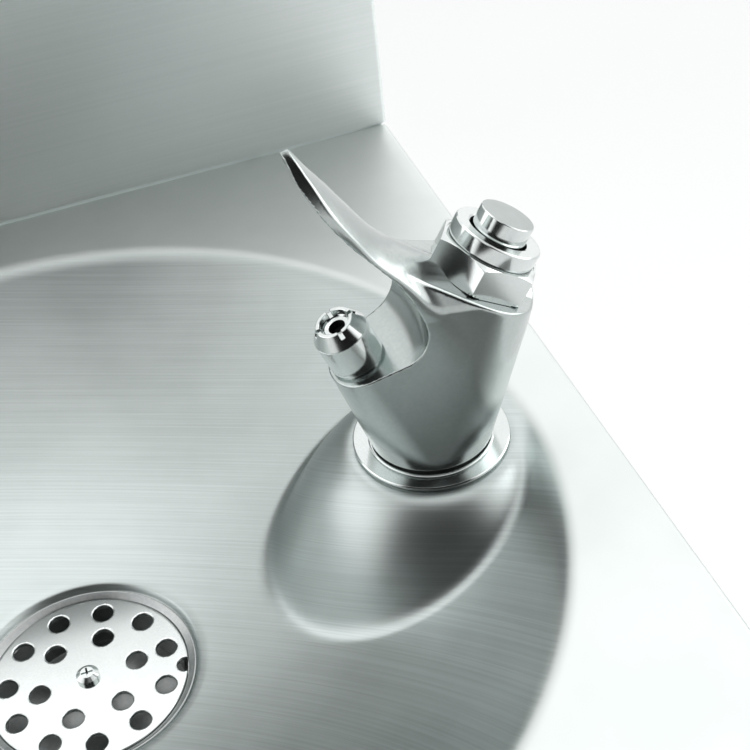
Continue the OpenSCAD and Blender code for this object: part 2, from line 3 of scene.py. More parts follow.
import bmesh
import bpy
import numpy as np
from mathutils import Matrix, Vector


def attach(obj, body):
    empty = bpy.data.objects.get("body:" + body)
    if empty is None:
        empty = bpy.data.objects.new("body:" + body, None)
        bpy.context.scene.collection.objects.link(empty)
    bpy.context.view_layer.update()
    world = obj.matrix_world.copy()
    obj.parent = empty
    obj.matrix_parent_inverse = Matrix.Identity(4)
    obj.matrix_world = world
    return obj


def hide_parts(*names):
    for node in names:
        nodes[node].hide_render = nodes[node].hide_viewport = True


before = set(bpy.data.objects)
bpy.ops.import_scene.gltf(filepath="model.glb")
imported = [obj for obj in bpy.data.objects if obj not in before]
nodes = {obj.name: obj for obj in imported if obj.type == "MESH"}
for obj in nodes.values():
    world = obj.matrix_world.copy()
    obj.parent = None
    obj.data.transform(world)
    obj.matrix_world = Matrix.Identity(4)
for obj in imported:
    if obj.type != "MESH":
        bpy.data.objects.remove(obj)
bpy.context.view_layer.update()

# ---------------------------------------------------------------- basin
# One stainless pressing: a flat deck with a turned-down edge, a round bowl, the dome that lifts the
# bubbler above the bowl's wall, and the recess for the drain. The deck is smooth and the bowl is brushed.

MM = 0.001
DECK_Z = 80.0
SEAM_Y = -11.65
BASIN_W = 357.0
BASIN_D = 372.0
CORNER_R = 38.0
SKIRT_H = 24.0
SHEET = 1.5
BOWL = np.array([0.0, -200.0, DECK_Z])
BOWL_R = 157.3
BOWL_DEPTH = 59.0
BUBBLER = np.array([126.5, -198.4, DECK_Z])


class Val:
    """A shader socket that can be added, scaled and compared like a number."""

    tree = None

    def __init__(self, socket):
        self.socket = socket

    @classmethod
    def feed(cls, socket, value):
        """Links a socket to a value, or sets it to a number."""
        if isinstance(value, Val):
            cls.tree.links.new(value.socket, socket)
        else:
            socket.default_value = value

    @classmethod
    def node(cls, kind, settings, sockets, out=0):
        """A node of any kind: its settings, what goes into its sockets by name or number, and its output."""
        made = cls.tree.nodes.new(kind)
        for key, value in settings.items():
            setattr(made, key, value)
        for key, value in sockets.items():
            cls.feed(made.inputs[key], value)
        return cls(made.outputs[out])

    @classmethod
    def maths(cls, operation, *values):
        return cls.node("ShaderNodeMath", {"operation": operation}, dict(enumerate(values)))

    def __add__(self, other):
        return Val.maths("ADD", self, other)

    __radd__ = __add__

    def __mul__(self, other):
        return Val.maths("MULTIPLY", self, other)

    __rmul__ = __mul__

    def __sub__(self, other):
        return Val.maths("SUBTRACT", self, other)

    def __rsub__(self, other):
        return Val.maths("SUBTRACT", other, self)

    def __truediv__(self, other):
        return Val.maths("DIVIDE", self, other)

    def __rtruediv__(self, other):
        return Val.maths("DIVIDE", other, self)

    def step(self, low, high):
        """0 below low, 1 above high, smooth between."""
        ends = {"Value": self, "From Min": low, "From Max": high, "To Min": 0.0, "To Max": 1.0}
        return Val.node("ShaderNodeMapRange", {"interpolation_type": "SMOOTHSTEP"}, ends)


def own_place():
    """The surface's place in the object's own metres."""
    return Val.node("ShaderNodeTexCoord", {}, {}, "Object")


def place_along(*directions):
    """The surface's place measured along three directions that are scaled to the pattern's size."""
    place = own_place()
    along = [
        Val.node("ShaderNodeVectorMath", {"operation": "DOT_PRODUCT"}, {0: place, 1: d}, "Value")
        for d in directions
    ]
    return Val.node("ShaderNodeCombineXYZ", {}, dict(enumerate(along)))


def noise(where, scale, detail=2.0, roughness=0.5):
    sockets = {"Vector": where, "Scale": scale, "Detail": detail, "Roughness": roughness}
    return Val.node("ShaderNodeTexNoise", {}, sockets, "Fac")


def shade(low, high, amount):
    """A colour between two, by an amount from 0 to 1. Either may itself be a mixed colour."""
    low, high = [c if isinstance(c, Val) else (*c, 1) for c in (low, high)]
    return Val.node("ShaderNodeMix", {"data_type": "RGBA"}, {0: amount, 6: low, 7: high}, 2)


def bump(height, distance, strength=1.0):
    return Val.node("ShaderNodeBump", {}, {"Height": height, "Distance": distance, "Strength": strength})


def finish_with(name, paint, **fixed):
    """A material whose varying inputs come from paint(), and whose fixed inputs are set on the shader."""
    made = bpy.data.materials.new(name)
    made.use_nodes = True
    Val.tree = made.node_tree
    shader = next(n for n in made.node_tree.nodes if n.type == "BSDF_PRINCIPLED")
    for key, value in fixed.items():
        shader.inputs[key.replace("_", " ")].default_value = value
    for key, value in paint().items():
        Val.feed(shader.inputs[key], value)
    return made


def basin_paint():
    """Deck and bowl part at the deck's level. The bowl's brushed lines run across it and lean back to the
    left."""
    place = own_place()
    height = Val.node("ShaderNodeSeparateXYZ", {}, {0: place}, "Z")
    deck = height.step((DECK_Z - 1.2) * MM, (DECK_Z - 0.2) * MM)
    bowl = 1 - deck
    line = np.array([0.903, -0.429, 0])
    lines = noise(place_along(line * 7, (420, 885, 1125), line * 0), 1.0, 5.0, 0.75)
    cloud = noise(place, 26, 3.0, 0.55)
    tone = cloud * 0.3 + lines * 0.7
    brushed = shade((0.45, 0.495, 0.485), (0.59, 0.64, 0.63), tone.step(0.3, 0.7))
    smooth = shade((0.71, 0.75, 0.735), (0.75, 0.785, 0.77), cloud.step(0.3, 0.7))
    return {
        "Base Color": shade(brushed, smooth, deck),
        "Roughness": 0.50 - bowl * 0.13 + (tone - 0.5) * bowl * 0.16,
        "Normal": bump(lines * bowl, 0.000012, 0.6),
    }


sheet_brushed = finish_with("sheet_brushed", basin_paint, Metallic=1.0)


def quads(rows, cols, closed):
    """Corner numbers of the quads of a rows x cols grid; closed joins the last column to the first."""
    r = np.arange(rows - 1)[:, None]
    c = np.arange(cols if closed else cols - 1)[None, :]
    n = (c + 1) % cols
    corners = (r * cols + c, r * cols + n, (r + 1) * cols + n, (r + 1) * cols + c)
    return np.stack(np.broadcast_arrays(*corners), -1).reshape(-1, 4)


def mesh(name, points, faces, flat_angle=40, normals=None):
    """A mesh object from points in millimetres and rows of corner numbers. Edges sharper than flat_angle stay
    sharp, unless the directions of the surface at the points are given."""
    data = bpy.data.meshes.new(name)
    faces = np.asarray(faces)
    data.vertices.add(len(points))
    data.vertices.foreach_set("co", (np.asarray(points) * MM).astype(np.float32).ravel())
    data.loops.add(faces.size)
    data.loops.foreach_set("vertex_index", faces.astype(np.int32).ravel())
    data.polygons.add(len(faces))
    data.polygons.foreach_set("loop_start", (np.arange(len(faces)) * faces.shape[1]).astype(np.int32))
    data.polygons.foreach_set("loop_total", np.full(len(faces), faces.shape[1], np.int32))
    data.update(calc_edges=True)
    data.shade_smooth()
    if normals is None:
        data.validate()
        data.set_sharp_from_angle(angle=np.radians(flat_angle))
    else:
        data.normals_split_custom_set_from_vertices(normals.astype(np.float32))
    made = bpy.data.objects.new(name, data)
    bpy.context.scene.collection.objects.link(made)
    return made


def dress(made, material, stands_for=(), body="fountain"):
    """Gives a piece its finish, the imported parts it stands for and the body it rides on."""
    made.data.materials.clear()
    made.data.materials.append(material)
    if stands_for:
        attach(made, body)
        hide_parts(*stands_for)


def smin(a, b, k):
    """Smaller of two fields, with the corner between them rounded over a width k."""
    h = np.clip(0.5 + 0.5 * (b - a) / k, 0, 1)
    return b + (a - b) * h - k * h * (1 - h)


def smax(a, b, k):
    """Larger of two fields, with the corner between them rounded over a width k."""
    return -smin(-a, -b, k)


def basin_height(x, y):
    """Height over the deck's level at a point measured from the bowl's centre. The bowl is
    -depth x (1 - (r / R)^2.2). The dome is flat to 26.5 mm from its axis and then falls as distance^1.5.
    It rises out of the bowl through a soft fillet, and the bowl's rim rolls into the deck."""
    r = np.hypot(x, y)
    bowl = -BOWL_DEPTH * (1 - (r / BOWL_R) ** 2.2)
    away = np.hypot(x - (BUBBLER[0] - BOWL[0]), y - (BUBBLER[1] - BOWL[1]))
    dome = -2.0 - 0.265 * np.maximum(away - 26.5, 0) ** 1.5
    dished = np.where(r > BOWL_R + 10, 5.0, smax(bowl, dome, 6.5))
    return smin(dished, 0.0 * r, 3.2)


def outline_reach(angle, inset):
    """Distance from the bowl's centre to the deck's outline, drawn in by inset, in a direction: the nearest
    of the side, the back and the front walls, or the front corner's arc."""
    c, s = np.cos(angle), np.sin(angle)
    half = BASIN_W / 2 - inset
    back = SEAM_Y - BOWL[1]
    front = BOWL[1] - (SEAM_Y - BASIN_D) - inset
    tiny = 1e-9
    side = half / np.maximum(np.abs(c), tiny)
    ends = np.where(s > 0, back, front) / np.maximum(np.abs(s), tiny)
    reach = np.minimum(side, ends)
    arc_r = CORNER_R - inset
    cx, cy = half - arc_r, -(front - arc_r)
    in_corner = (np.abs(c) * reach > cx) & (s * reach < cy)
    along = np.abs(c) * cx + s * cy
    arc = along + np.sqrt(np.maximum(along**2 - (cx**2 + cy**2) + arc_r**2, 0))
    return np.where(in_corner, arc, reach)


def basin_angles():
    """Directions round the bowl, closer together towards the dome, with the two back corners among them."""
    near = np.radians(np.arange(-38, 38, 0.65))
    far = np.radians(np.arange(38, 322, 1.25))
    corner = np.arctan2(SEAM_Y - BOWL[1], BASIN_W / 2)
    angles = np.sort(np.concatenate([near % (2 * np.pi), far, [corner, np.pi - corner]]))
    return angles[np.concatenate([[True], np.diff(angles) > 1e-4])]


def basin_points(angle):
    """Rings round the bowl's centre: the recess's floor and wall, the bowl, the rim, the deck out to its
    edge's roll, then the roll and the turned-down skirt. At the back the deck runs square to the
    backsplash."""
    level = 0 * angle
    rim_r = 163
    recess = [(35.3, -59.0), (36.3, -59.0), (36.9, -58.4), (37.4, -56.8)]
    rings = [(level + r, level + z) for r, z in recess]
    radii = [np.linspace(38.4, 95, 23), np.linspace(96.5, 150, 36), np.linspace(151, rim_r, 18)]
    for r in np.concatenate(radii):
        rings.append((level + r, basin_height(r * np.cos(angle), r * np.sin(angle))))
    roll = 2.6
    inner = outline_reach(angle, roll)
    at_back = np.sin(angle) * inner > (SEAM_Y - BOWL[1]) - roll - 0.01
    for share in (0.25, 0.5, 0.75, 0.92, 1.0):
        rings.append((rim_r + (inner - rim_r) * share, level))
    for a in np.radians([18, 36, 54, 72, 90]):
        fall = np.where(at_back, 0.0, -roll * (1 - np.cos(a)))
        rings.append((outline_reach(angle, roll * (1 - np.sin(a))), fall))
    for drop in (-8.0, -16.0, -SKIRT_H):
        rings.append((outline_reach(angle, 0.0), np.where(at_back, drop / 4, drop)))
    radius, height = np.array(rings).transpose(1, 0, 2)
    return np.stack([radius * np.cos(angle), radius * np.sin(angle), height], -1)


directions = basin_angles()
sheet_points = basin_points(directions)
sheet_faces = quads(len(sheet_points), len(directions), True)[:, ::-1]
basin = mesh("basin_sheet", sheet_points.reshape(-1, 3) + BOWL, sheet_faces, 50)
thickness = basin.modifiers.new("sheet", "SOLIDIFY")
thickness.thickness = SHEET * MM
thickness.offset = -1
dress(basin, sheet_brushed, ["basin"])

# ---------------------------------------------------------------- drain
# A turned drain body whose sloping rim sits in the recess, and a round strainer plate with two rings
# of drilled holes and a notch at its edge. One polished screw holds the plate down.

PLATE_TOP = -59.4
PLATE_R = 33.2


def metal_paint(low, high, rough, spread, grain, depth):
    """Mottled metal: clouds of size 1 / grain metres with a finer grain on them, which change the colour, the
    roughness and the height a little."""

    def paint():
        place = own_place()
        fine = noise(place, grain * 14, 3.0, 0.7)
        tone = noise(place, grain, 4.0, 0.6) * 0.4 + fine * 0.6
        return {
            "Base Color": shade(low, high, tone.step(0.3, 0.7)),
            "Roughness": rough + spread * (tone - 0.5),
            "Normal": bump(fine, depth, 0.6),
        }

    return paint


polished_paint = metal_paint((0.66, 0.70, 0.69), (0.72, 0.76, 0.75), 0.14, 0.04, 90, 0.000001)
polished = finish_with("polished", polished_paint, Metallic=1.0)
dull_paint = metal_paint((0.40, 0.42, 0.42), (0.52, 0.535, 0.53), 0.32, 0.14, 50, 0.00001)
dull_steel = finish_with("dull_steel", dull_paint, Metallic=1.0)


def keep(material, *names):
    """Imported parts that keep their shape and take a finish."""
    for name in names:
        dress(nodes[name], material)


def surface_net(field, low, high, step):
    """Points, quads and directions of the surface where a field of x, y, z is zero: a grid cell that the
    surface crosses gets one point, the mean of the crossings on its edges, and each crossed edge joins the
    four cells round it. The points are then moved onto the surface along the field's slope."""
    axes = [np.arange(a, b + step, step) for a, b in zip(low, high)]
    values = field(*np.meshgrid(*axes, indexing="ij"))
    inside = values < 0
    cells = tuple(n - 1 for n in values.shape)
    count, total = np.zeros(cells), np.zeros(cells + (3,))
    crossings = []
    for d in range(3):
        o1, o2 = (d + 1) % 3, (d + 2) % 3
        first = tuple(slice(None, -1) if i == d else slice(None) for i in range(3))
        second = tuple(slice(1, None) if i == d else slice(None) for i in range(3))
        a, b = values[first], values[second]
        cross = inside[first] != inside[second]
        share = np.where(cross, a / np.where(cross, a - b, 1), 0)
        where = np.meshgrid(*[axes[i][:-1] if i == d else axes[i] for i in range(3)], indexing="ij")
        where[d] = where[d] + share * step
        for s1 in (0, 1):
            for s2 in (0, 1):
                part = [slice(None)] * 3
                part[o1] = slice(s1, s1 + cells[o1])
                part[o2] = slice(s2, s2 + cells[o2])
                part = tuple(part)
                count += cross[part]
                total += np.stack([w[part] for w in where], -1) * cross[part][..., None]
        crossings.append((o1, o2, cross, inside[first]))
    used = count > 0
    number = np.full(cells, -1)
    number[used] = np.arange(used.sum())
    points = total[used] / count[used][:, None]
    faces = []
    for o1, o2, cross, in_first in crossings:
        at = np.argwhere(cross)
        at = at[(at[:, o1] > 0) & (at[:, o2] > 0) & (at[:, o1] < cells[o1]) & (at[:, o2] < cells[o2])]
        around = []
        for s1, s2 in ((1, 1), (0, 1), (0, 0), (1, 0)):
            cell = at.copy()
            cell[:, o1] -= s1
            cell[:, o2] -= s2
            around.append(number[tuple(cell.T)])
        quad = np.stack(around, -1)
        flip = ~in_first[tuple(at.T)]
        quad[flip] = quad[flip][:, ::-1]
        faces.append(quad)
    h = 0.02
    for _ in range(6):
        x, y, z = points.T
        slope = np.stack([
            field(x + h, y, z) - field(x - h, y, z),
            field(x, y + h, z) - field(x, y - h, z),
            field(x, y, z + h) - field(x, y, z - h),
        ], -1) / (2 * h)
        move = -field(x, y, z)[:, None] * slope / np.maximum((slope**2).sum(-1), 0.05)[:, None]
        size = np.linalg.norm(move, axis=1, keepdims=True)
        points = points + move * np.minimum(1, 0.4 * step / np.maximum(size, 1e-9))
    steepness = np.maximum(np.linalg.norm(slope, axis=1, keepdims=True), 1e-6)
    return points, np.concatenate(faces), slope / steepness


def plate_field(x, y, z):
    """The strainer plate: a disc between two heights, less the screw's hole, two rings of round holes and
    one round notch at the edge, with every edge eased."""
    screw_hole_r, hole_r = 2.1, 3.5
    notch_r, notch_out, notch = 2.7, 32.2, np.radians(-13.7)
    r = np.hypot(x, y)
    solid = smax(r - PLATE_R, np.abs(z - (PLATE_TOP - SHEET / 2)) - SHEET / 2, 0.5)
    holes = r - screw_hole_r
    for ring_r, number, offset in ((27.0, 11, 3.3), (16.5, 6, 2.0)):
        pitch = 2 * np.pi / number
        a = np.arctan2(y, x) - np.radians(offset)
        a = a - pitch * np.round(a / pitch)
        holes = np.minimum(holes, np.hypot(r * np.cos(a) - ring_r, r * np.sin(a)) - hole_r)
    off_notch = np.hypot(x - notch_out * np.cos(notch), y - notch_out * np.sin(notch))
    holes = np.minimum(holes, off_notch - notch_r)
    return smax(solid, -holes, 0.5)


plate_low, plate_high = (-34.5, -34.5, PLATE_TOP - SHEET - 1), (34.5, 34.5, PLATE_TOP + 1)
plate_points, plate_faces, plate_out = surface_net(plate_field, plate_low, plate_high, 0.45)
plate = mesh("strainer_plate_drilled", plate_points + BOWL, plate_faces, normals=plate_out)
dress(plate, polished, ["strainer_plate"])


class Place:
    """A place for turned parts: an origin and three axes, in millimetres."""

    def __init__(self, origin, lean=0.0):
        """The axis leans from upright by an angle in degrees, to the right."""
        a = np.radians(lean)
        self.o = np.asarray(origin, float)
        self.z = np.array([np.sin(a), 0, np.cos(a)])
        self.x = np.array([np.cos(a), 0, -np.sin(a)])
        self.y = np.cross(self.z, self.x)

    def out(self, x, y, z):
        """Points of the shared frame from coordinates along the three axes."""
        x, y, z = np.broadcast_arrays(x, y, z)
        return self.o + x[..., None] * self.x + y[..., None] * self.y + z[..., None] * self.z


def rounded(profile, radius, steps=4):
    """A profile of (r, z) points whose inner corners become arcs of up to that radius: each corner is cut
    back along both its sides by radius x tan(half the turn) and joined by a quadratic curve through it."""
    profile = [np.asarray(p, float) for p in profile]
    out = [profile[0]]
    t = np.linspace(0, 1, steps + 1)[:, None]
    for before, corner, after in zip(profile, profile[1:], profile[2:]):
        a, b = before - corner, after - corner
        la, lb = np.linalg.norm(a), np.linalg.norm(b)
        turn = np.pi - np.arccos(np.clip(np.dot(a, b) / (la * lb), -1, 1))
        cut = min(radius * np.tan(min(turn, 2.8) / 2), 0.45 * la, 0.45 * lb)
        start, end = corner + a / la * cut, corner + b / lb * cut
        out.extend((1 - t) ** 2 * start + 2 * t * (1 - t) * corner + t**2 * end)
    return np.array(out + [profile[-1]])


def close_up(made):
    """Joins points that lie on each other, which closes poles and seams, and turns the faces outwards."""
    b = bmesh.new()
    b.from_mesh(made.data)
    bmesh.ops.remove_doubles(b, verts=b.verts, dist=0.004 * MM)
    bmesh.ops.recalc_face_normals(b, faces=b.faces)
    b.to_mesh(made.data)
    b.free()


def turned(name, place, profile, radius=0.25, around=96, shape=None, flat_angle=40):
    """Revolves a profile of (r, z) round the place's axis: x = r cos a, y = r sin a. Where shape is given,
    shape(a, r, z) works the turning further. Points with r = 0 close as poles."""
    prof = rounded(profile, radius) if radius else np.array(profile, float)
    angle = np.linspace(0, 2 * np.pi, around, endpoint=False)
    r = np.repeat(prof[:, :1], around, 1)
    z = np.repeat(prof[:, 1:], around, 1)
    if shape is not None:
        r, z = shape(angle[None, :], r, z)
    points = place.out(r * np.cos(angle), r * np.sin(angle), z).reshape(-1, 3)
    made = mesh(name, points, quads(len(prof), around, True), flat_angle)
    close_up(made)
    return made


drain = turned("drain_body_turned", Place(BOWL), [
    (0, -79), (31.5, -79), (31.5, -62.4), (33.0, -61.0), (33.5, -61.0), (33.5, -59.8), (33.9, -59.5),
    (35.7, -58.3), (36.1, -58.3), (36.2, -59.0), (35.0, -59.2), (35.0, -80), (17, -90), (17, -104), (0, -104),
], 0.3, 128)
dress(drain, dull_steel, ["drain_body"])
keep(polished, "strainer_screw")

# ---------------------------------------------------------------- backsplash
# A folded stainless pan that stands on the back of the deck against the wall. Its corners are
# bent round and its top is closed.

SPLASH_H = 125.0


def sheet_paint(low, high):
    """Fine lines along the sheet, with faint clouds."""

    def paint():
        lines = noise(place_along((4, 0, 0), (0, 900, 900), (0, 0, 0)), 1.0, 4.0, 0.7)
        tone = noise(own_place(), 20, 3.0, 0.5) * 0.4 + lines * 0.6
        return {
            "Base Color": shade(low, high, tone.step(0.3, 0.7)),
            "Roughness": 0.48 + 0.08 * (tone - 0.5),
            "Normal": bump(lines, 0.000003, 0.6),
        }

    return paint


bright_paint = sheet_paint((0.80, 0.86, 0.845), (0.86, 0.91, 0.90))
sheet_bright = finish_with("sheet_bright", bright_paint, Metallic=1.0)


def round_box(inset, z):
    """The pan's outline in plan at height z, drawn in by inset: a rectangle whose four corners are arcs."""
    half = BASIN_W / 2
    x0, x1, y0, y1 = inset - half, half - inset, SEAM_Y + inset, -0.02 - inset * 0.2
    front_r, back_r = 2.2 - inset * 0.5, 0.3
    out = []
    corners = ((x0, y0, 180, front_r), (x1, y0, 270, front_r), (x1, y1, 0, back_r), (x0, y1, 90, back_r))
    for cx, cy, start, r in corners:
        mid_x = cx + (r if cx == x0 else -r)
        mid_y = cy + (r if cy == y0 else -r)
        a = np.radians(np.linspace(start, start + 90, 7))
        out.append(np.stack([mid_x + r * np.cos(a), mid_y + r * np.sin(a), a * 0 + z], -1))
    return np.concatenate(out)


def make_backsplash():
    """The outline carried up from just under the deck's level, with a narrow groove at the seam. The top
    edge is rolled by drawing the outline in as it rises, and both ends close in their middle."""
    top = DECK_Z + SPLASH_H
    rows = [(1.4, DECK_Z - 1.4), (1.4, DECK_Z + 0.4), (0.2, DECK_Z + 0.75), (0, DECK_Z + 1.0)]
    rows += [(0, z) for z in np.linspace(DECK_Z + 4, top - 2, 6)]
    rows += [(2 * (1 - np.cos(a)), top - 2 + 2 * np.sin(a)) for a in np.radians([22, 45, 67, 90])]
    rings = [round_box(inset, z) for inset, z in rows]
    ends = [np.repeat(ring.mean(0)[None], len(ring), 0) for ring in (rings[0], rings[-1])]
    rings = [ends[0]] + rings + [ends[1]]
    made = mesh("backsplash_pan", np.concatenate(rings), quads(len(rings), len(rings[0]), True), 35)
    close_up(made)
    return made


dress(make_backsplash(), sheet_bright, ["backsplash"])
keep(dull_steel, "backsplash_bolts")

# ---------------------------------------------------------------- bubbler body
# One satin stainless casting: a column that leans outwards as it rises, a pocket scooped out round
# the nozzle, a mouth guard curved over it, and a sloping seat for the push button. The guard, the
# pocket and the seat run into each other, so the casting is worked out as one field of distances.

NOZZLE_FOOT = np.array([-21.3, 0, 40.0])
NOZZLE_LEAN = 20
SEAT_MIDDLE = np.array([18.8, 0, 57.9])
SEAT_LEAN = 31.7

casting_paint = metal_paint((0.45, 0.495, 0.485), (0.51, 0.55, 0.54), 0.21, 0.04, 60, 0.0000015)
casting = finish_with("casting", casting_paint, Metallic=1.0)


def through(x, knots, values):
    """A smooth curve through points: cubic pieces whose slopes at the knots come from the knots beside
    them."""
    k, v = np.asarray(knots, float), np.asarray(values, float)
    slope = np.gradient(v, k)
    x = np.clip(x, k[0], k[-1])
    i = np.clip(np.searchsorted(k, x) - 1, 0, len(k) - 2)
    h = k[i + 1] - k[i]
    t = (x - k[i]) / h
    return (
        (2 * t**3 - 3 * t**2 + 1) * v[i] + (t**3 - 2 * t**2 + t) * h * slope[i]
        + (3 * t**2 - 2 * t**3) * v[i + 1] + (t**3 - t**2) * h * slope[i + 1]
    )


def column_field(x, y, z):
    """Distance outside the column: at each height its section is a large and a small circle joined by their
    tangents, and both move outwards with height."""
    up = np.clip(z - 1.5, 0, 90)
    r_left = np.maximum(19.75 - 0.175 * up, 10.0)
    x_left = -(19.75 + 0.30 * up) + r_left
    r_right = 19.75
    x_right = 0.335 * up
    apart = np.maximum(x_right - x_left, 1e-3)
    lean = np.clip((r_left - r_right) / apart, -0.99, 0.99)
    flat = np.sqrt(1 - lean**2)
    px, py = np.abs(y), x - x_left
    along = -px * lean + py * flat
    left = np.hypot(px, py) - r_left
    right = np.hypot(px, py - apart) - r_right
    side = px * flat + py * lean - r_left
    return 0.94 * np.where(along < 0, left, np.where(along > flat * apart, right, side))


def guard_field(y, t, a):
    """Distance outside the mouth guard, from heights t and distances a along and across the nozzle's axis.
    Its convex back falls off as the square of the distance from its middle, and it narrows to a round
    tip."""
    knots = [-20, 0, 16, 22, 27, 31, 37, 47.4, 58, 68, 78]
    ridge = through(t, knots, [66, 47, 35, 31.3, 28.4, 26.2, 24, 21.5, 19.2, 16.7, 14.9])
    edge = through(t, knots, [36, 29.5, 25.2, 23.9, 22.5, 21, 18.9, 17.2, 16.2, 15.9, 14.6])
    half = np.where(t < 36, 14 + 0.09 * (36 - t), 14 * np.clip(1 - ((t - 36) / 39.5) ** 2, 0, 1) ** 0.72)
    half = np.maximum(half, 0.05)
    share = np.clip((y / np.maximum(half, 6)) ** 2, 0, 1.4)
    back = (a - (ridge - (ridge - edge) * share)) / np.sqrt(1.1 + (2 * (ridge - edge) * y / 200) ** 2)
    return smax(back, (np.abs(y) - half) * 0.85, 0.8), share


def body_field(x, y, z):
    """The casting, in millimetres from the flange's centre: the column, drawn in above drawn_in_z and cut
    off by the button's seat, joined to the guard, less the pocket under the guard's hollow front."""
    drawn_in_z, pocket_r = 59.3, 11.0
    n, p = np.radians(NOZZLE_LEAN), np.radians(SEAT_LEAN)
    dx, dz = x - NOZZLE_FOOT[0], z - NOZZLE_FOOT[2]
    t = -np.sin(n) * dx + np.cos(n) * dz
    a = np.cos(n) * dx + np.sin(n) * dz
    column = column_field(x, y, z)
    seat = np.sin(p) * (x - SEAT_MIDDLE[0]) + np.cos(p) * (z - SEAT_MIDDLE[2]) + 1.1
    above = 0.5 * (z - drawn_in_z + np.sqrt((z - drawn_in_z) ** 2 + 0.16))
    boss = smax(seat, column + 0.30 * above, 1.2)
    guard, share = guard_field(y, t, a)
    solid = smax(column, smin(boss, guard, 0.6 + 1.2 * np.clip((np.abs(y) - 5) / 8, 0, 1)), 0.8)
    middle = through(
        t, [-5, 5, 15, 26, 31, 36.6, 43, 53, 60, 68, 78],
        [22.6, 24.4, 25.6, 24.3, 22.9, 21.1, 19.1, 16.5, 15.1, 13.6, 12.8],
    )
    front_edge = through(
        t, [-5, 8.7, 15.2, 26.6, 36, 44.5, 51.4, 60, 67.2, 78],
        [22, 22, 22.1, 21.1, 18.2, 15.4, 14.1, 13.0, 12.3, 12.8],
    )
    q1 = a - (middle - (middle - front_edge) * share) + pocket_r
    q2 = -1.0 - t + pocket_r
    pocket = np.minimum(np.maximum(q1, q2), 0) + np.hypot(np.maximum(q1, 0), np.maximum(q2, 0)) - pocket_r
    return smax(smax(solid, -pocket, 0.45), 1.5 - z, 0.9)


body_points, body_faces, body_out = surface_net(body_field, (-50, -24, -0.5), (44, 24, 119), 0.58)
body = mesh("bubbler_casting", body_points + BUBBLER, body_faces, normals=body_out)
dress(body, casting, ["bubbler_body"])

# ---------------------------------------------------------------- nozzle
# Two polished turnings: a plain base seated in the pocket, and a cone whose crown is cut by four
# slots and dished round the jet. The bore under the jet is in shadow, and its near-black colour is painted
# shade.

ON_NOZZLE = Place(BUBBLER + NOZZLE_FOOT, -NOZZLE_LEAN)


def rubber_paint():
    grain = noise(own_place(), 500, 4.0, 0.7)
    cloud = noise(own_place(), 60, 3.0)
    return {
        "Base Color": shade((0.008, 0.009, 0.009), (0.020, 0.021, 0.021), cloud.step(0.3, 0.7)),
        "Roughness": 0.45 + 0.2 * grain,
        "Normal": bump(grain, 0.00004, 0.5),
    }


rubber = finish_with("rubber", rubber_paint)
nozzle_base = turned("nozzle_base_turned", ON_NOZZLE, [
    (0, -1.6), (7.8, -1.6), (7.8, -0.3), (8.6, 0.2), (8.6, 11.5), (8.35, 11.62), (8.35, 11.0), (0, 11.0),
], 0.12, 128)
dress(nozzle_base, polished, ["nozzle_base", "nozzle_o_ring"])


def crown_slots(angle, r, z):
    """Four slots across the crown: close to two crossing planes, the height is held down to the slot's
    floor."""
    half_width, floor_z = 0.65, 14.35
    off = np.minimum(np.abs(r * np.cos(angle)), np.abs(r * np.sin(angle)))
    return r, np.where((off < half_width) & (r < 7.2) & (r > 3.9), np.minimum(z, floor_z), z)


nozzle_tip = turned("nozzle_crown", ON_NOZZLE, [
    (0, 11.2), (8.3, 11.2), (8.3, 11.7), (8.56, 11.82), (7.06, 14.33), (7.0, 14.43), (6.05, 16.0),
    (5.85, 16.13), (4.95, 16.13), (4.75, 16.0), (4.3, 14.5),
    (4.2, 14.4), (3.9, 14.0), (2.7, 13.8), (2.6, 13.6), (2.6, 11.3), (0, 11.3),
], 0, 720, crown_slots, 20)
dress(nozzle_tip, polished, ["nozzle_tip"])

# Painted shade: the bore takes the rubber's near-black colours and almost no reflection, standing in for the
# shadow inside the hole.
bore_dark = finish_with("bore_dark", rubber_paint, Specular_IOR_Level=0.03)


def second_finish(made, material, place, chosen):
    """Gives the faces for which chosen(radius, height) is true, measured in a place, a second finish."""
    made.data.materials.append(material)
    middles = np.zeros(len(made.data.polygons) * 3)
    made.data.polygons.foreach_get("center", middles)
    off = middles.reshape(-1, 3) / MM - place.o
    height = off @ place.z
    radius = np.linalg.norm(off - height[:, None] * place.z, axis=1)
    made.data.polygons.foreach_set("material_index", chosen(radius, height).astype(np.int32))


# Faces inside the bore under the jet take the painted shade.
second_finish(nozzle_tip, bore_dark, ON_NOZZLE, lambda r, z: (r < 2.66) & (z < 13.75))

# ---------------------------------------------------------------- push button
# A polished hexagonal nut holds the valve in the casting. A round collar stands on it, and the
# button slides in the collar. Its end is satin.

ON_BUTTON = Place(BUBBLER + SEAT_MIDDLE, SEAT_LEAN)
face_paint = metal_paint((0.40, 0.44, 0.43), (0.47, 0.505, 0.495), 0.34, 0.06, 160, 0.000004)
button_face = finish_with("button_face", face_paint, Metallic=1.0)


def six_sides(angle, r, z):
    """Holds the radius inside a hexagon 30 mm across its flats, with a corner at angle 0."""
    off = (angle % (np.pi / 3)) - np.pi / 6
    return np.minimum(r, 15.0 / np.cos(off)), z


